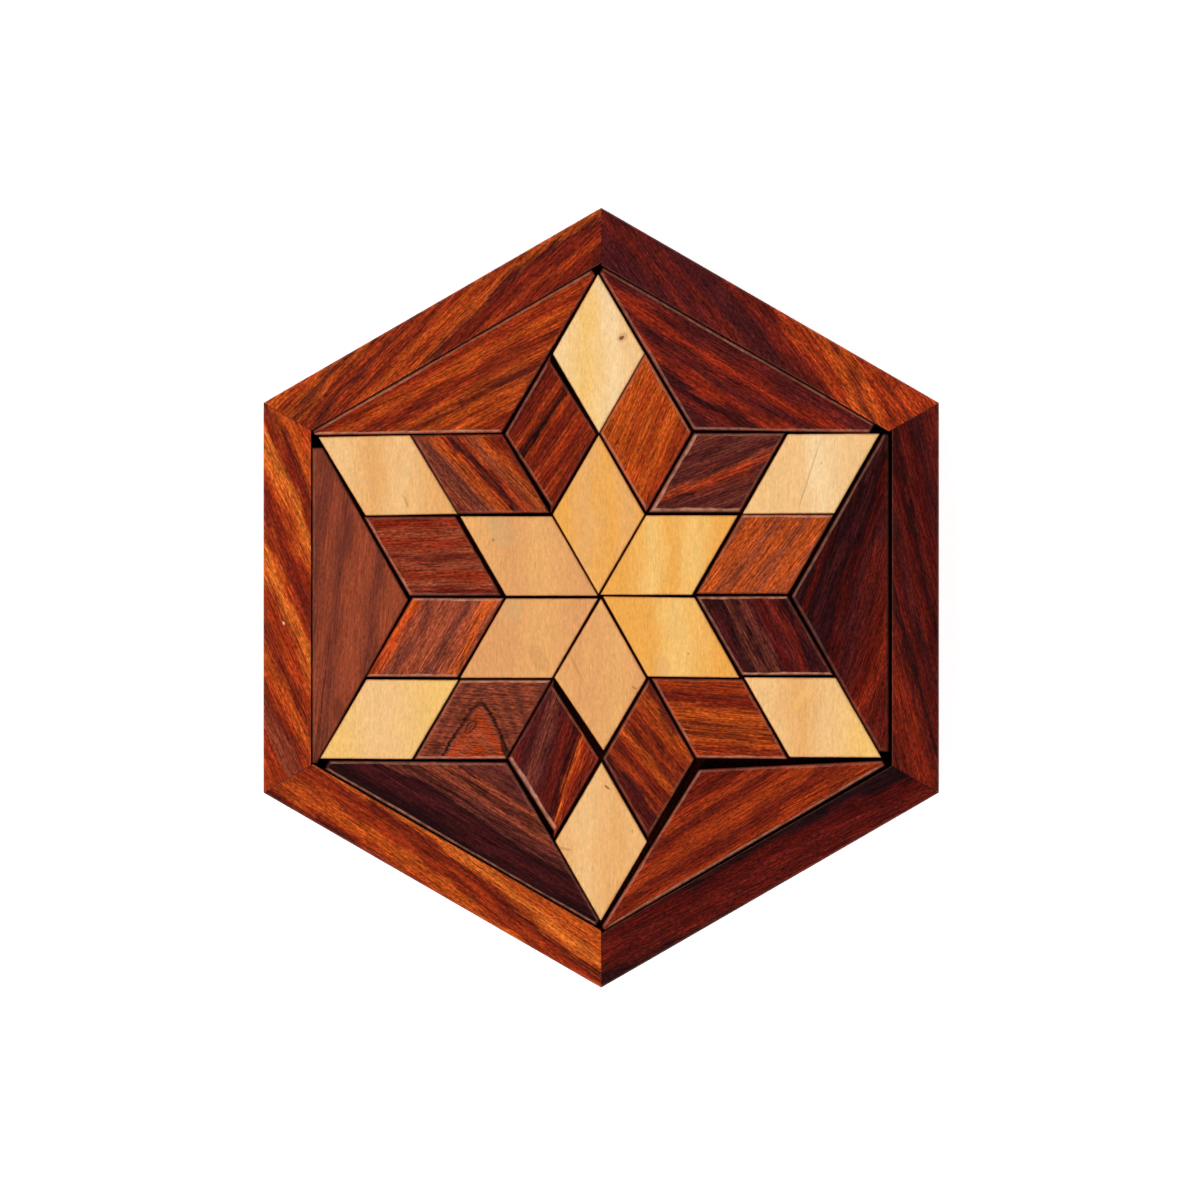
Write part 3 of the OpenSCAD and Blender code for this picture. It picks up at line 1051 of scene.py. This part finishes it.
class STARTRAY_OT_dark_diamonds(bpy.types.Operator):
    """Makes the dark diamonds at the star's notches"""

    bl_idname = "star_tray.dark_diamonds"
    bl_label = "Dark diamonds"

    def execute(self, context):
        ease = context.scene.star_tray_pieces.dark_ease
        for node in DARK_DIAMONDS:
            add_block(node, ease, 0.42)
        return {"FINISHED"}


class STARTRAY_OT_edge_triangles(bpy.types.Operator):
    """Makes the triangles between the star's points"""

    bl_idname = "star_tray.edge_triangles"
    bl_label = "Edge triangles"

    def execute(self, context):
        ease = context.scene.star_tray_pieces.triangle_ease
        for node in EDGE_TRIANGLES:
            add_block(node, ease, 0.42)
        return {"FINISHED"}


class STARTRAY_OT_base(bpy.types.Operator):
    """Finishes the base board and its steel pins"""

    bl_idname = "star_tray.base"
    bl_label = "Base board and pins"

    def execute(self, context):
        board = Wood(
            90,
            "-60 umber, -40 maroon, -22 brown, -8 umber, 6 brown, 20 umber, 38 brown, 60 umber",
            wander=5,
            ripple=2,
            fibre=0.25,
            lines=0.3,
        )
        material = wood_material("base_board", (0, 0, 0), board, 301.0, 0.6)
        frame["nodes"]["base_board"].data.materials[0] = material

        t = Tree("pin_steel")
        place = t.mapped(t.add("TexCoord").outputs["Object"], "TEXTURE", scale=(MM, MM, MM))
        scratch = t.noise(place, 0.8, 14.0, 5.0, detail=3.0)
        spots = t.noise(place, 1.5, 1.5, 9.0)
        spotted = t.scaled(spots, 0.5, 0.7)
        colour = t.mix(spotted, tone_colour("steel"), tone_colour("tarnish"))
        dull = t.scaled(scratch, 0.3, 0.7, 0.28, 0.5, kind="LINEAR")
        steel = t.finish(colour, dull, scratch, 0.02 * MM, Metallic=1.0)
        frame["nodes"]["base_pins"].data.materials[0] = steel
        return {"FINISHED"}


class STARTRAY_OT_stage(bpy.types.Operator):
    """Sets the floor, the light and the camera"""

    bl_idname = "star_tray.stage"
    bl_label = "Stage"

    def execute(self, context):
        settings = context.scene.star_tray_stage
        add_floor(settings.floor)
        add_light()
        add_camera(settings)
        context.scene.view_settings.view_transform = "Standard"
        return {"FINISHED"}


def add_floor(colour):
    """A round floor, far wider than the tray: rings of a grid round the origin."""
    radius, around = 12.0, 64
    angle = np.linspace(0, 2 * math.pi, around, endpoint=False)
    rim = np.stack([np.cos(angle), np.sin(angle), np.zeros(around)], 1)
    points = np.concatenate([rim * 0.5, rim * radius])
    step = np.arange(around)
    ahead = (step + 1) % around
    faces = np.stack([step + around, ahead + around, ahead, step], 1).tolist()
    mesh = bpy.data.meshes.new("floor")
    mesh.from_pydata(points, [], faces + [step.tolist()])
    floor = bpy.data.objects.new("floor", mesh)
    bpy.context.scene.collection.objects.link(floor)
    t = Tree("floor")
    place = t.add("TexCoord").outputs["Object"]
    cloud = t.add("TexNoise", {"Vector": place, "Scale": 4.0}).outputs[0]
    shade = t.scaled(cloud, 0.3, 0.7, 0.99, 1.0, kind="LINEAR")
    tint = t.add("VectorMath", {0: colour, 3: shade}, operation="SCALE").outputs[0]
    glow = {"Emission Color": (1, 1, 1, 1), "Emission Strength": 0.55}
    sheen = {"Specular IOR Level": 0.1}
    mesh.materials.append(t.finish(tint, 0.9, cloud, 0.0, **sheen, **glow))


def add_light():
    """A pale surround that is bright near the horizon and dim overhead, and four soft suns,
    the strongest from the lower left."""
    world = bpy.data.worlds.new("surround")
    bpy.context.scene.world = world
    world.use_nodes = True
    nodes, links = world.node_tree.nodes, world.node_tree.links
    nodes.clear()
    coordinates = nodes.new("ShaderNodeTexCoord")
    split = nodes.new("ShaderNodeSeparateXYZ")
    fade = nodes.new("ShaderNodeMapRange")
    fade.interpolation_type = "SMOOTHSTEP"
    for socket, value in ((1, 0.2), (2, 0.75), (3, 1.2), (4, 0.15)):
        fade.inputs[socket].default_value = value
    background = nodes.new("ShaderNodeBackground")
    background.inputs["Color"].default_value = (1.0, 0.995, 0.985, 1)
    output = nodes.new("ShaderNodeOutputWorld")
    links.new(coordinates.outputs["Generated"], split.inputs[0])
    links.new(split.outputs["Z"], fade.inputs[0])
    links.new(fade.outputs[0], background.inputs["Strength"])
    links.new(background.outputs[0], output.inputs[0])
    for name, azimuth, elevation, strength in (
        ("key", 215, 48, 1.12),
        ("side", 130, 45, 0.68),
        ("back", 60, 48, 0.4),
        ("front", 300, 48, 0.56),
    ):
        sun = bpy.data.lights.new(name, "SUN")
        sun.energy = strength
        sun.angle = math.radians(35)
        lamp = bpy.data.objects.new(name, sun)
        lamp.rotation_euler = (
            0,
            math.radians(90 - elevation),
            math.radians(azimuth),
        )
        bpy.context.scene.collection.objects.link(lamp)


def add_camera(settings):
    """A camera straight above, as far off as its height says, with a lens that takes in the
    picture's width at the top of the tray."""
    low, high = CAD_BOX
    data = bpy.data.cameras.new("camera")
    data.sensor_width = 36
    data.lens = data.sensor_width * settings.camera_height / settings.picture_width
    data.clip_end = 100
    camera = bpy.data.objects.new("camera", data)
    off_centre = Vector((-0.23, -0.44, 0)) * MM
    camera.location = off_centre + Vector((0, 0, high[2] + settings.camera_height))
    bpy.context.scene.collection.objects.link(camera)
    bpy.context.scene.camera = camera


class STARTRAY_PT_panel(bpy.types.Panel):
    """Lists the pieces and their settings"""

    bl_idname = "STARTRAY_PT_panel"
    bl_label = "Star tray puzzle"
    bl_space_type = "VIEW_3D"
    bl_region_type = "UI"
    bl_category = "Star tray"

    def draw(self, context):
        for operator in OPERATORS:
            self.layout.operator(operator.bl_idname)
        scene = context.scene
        for group in (scene.star_tray_pieces, scene.star_tray_tones, scene.star_tray_stage):
            for key in group.__annotations__:
                self.layout.prop(group, key)


OPERATORS = (
    STARTRAY_OT_stage,
    STARTRAY_OT_rails,
    STARTRAY_OT_base,
    STARTRAY_OT_inner_diamonds,
    STARTRAY_OT_tip_diamonds,
    STARTRAY_OT_dark_diamonds,
    STARTRAY_OT_edge_triangles,
)
CLASSES = (PieceSettings, ToneSettings, StageSettings, *OPERATORS, STARTRAY_PT_panel)


def register():
    for cls in CLASSES:
        bpy.utils.register_class(cls)
    bpy.types.Scene.star_tray_pieces = bpy.props.PointerProperty(type=PieceSettings)
    bpy.types.Scene.star_tray_tones = bpy.props.PointerProperty(type=ToneSettings)
    bpy.types.Scene.star_tray_stage = bpy.props.PointerProperty(type=StageSettings)


def unregister():
    del bpy.types.Scene.star_tray_stage
    del bpy.types.Scene.star_tray_tones
    del bpy.types.Scene.star_tray_pieces
    for cls in reversed(CLASSES):
        bpy.utils.unregister_class(cls)


def main():
    """Makes everything in order."""
    register()
    for operator in OPERATORS:
        group, name = operator.bl_idname.split(".")
        getattr(getattr(bpy.ops, group), name)()


if __name__ == "__main__":
    main()
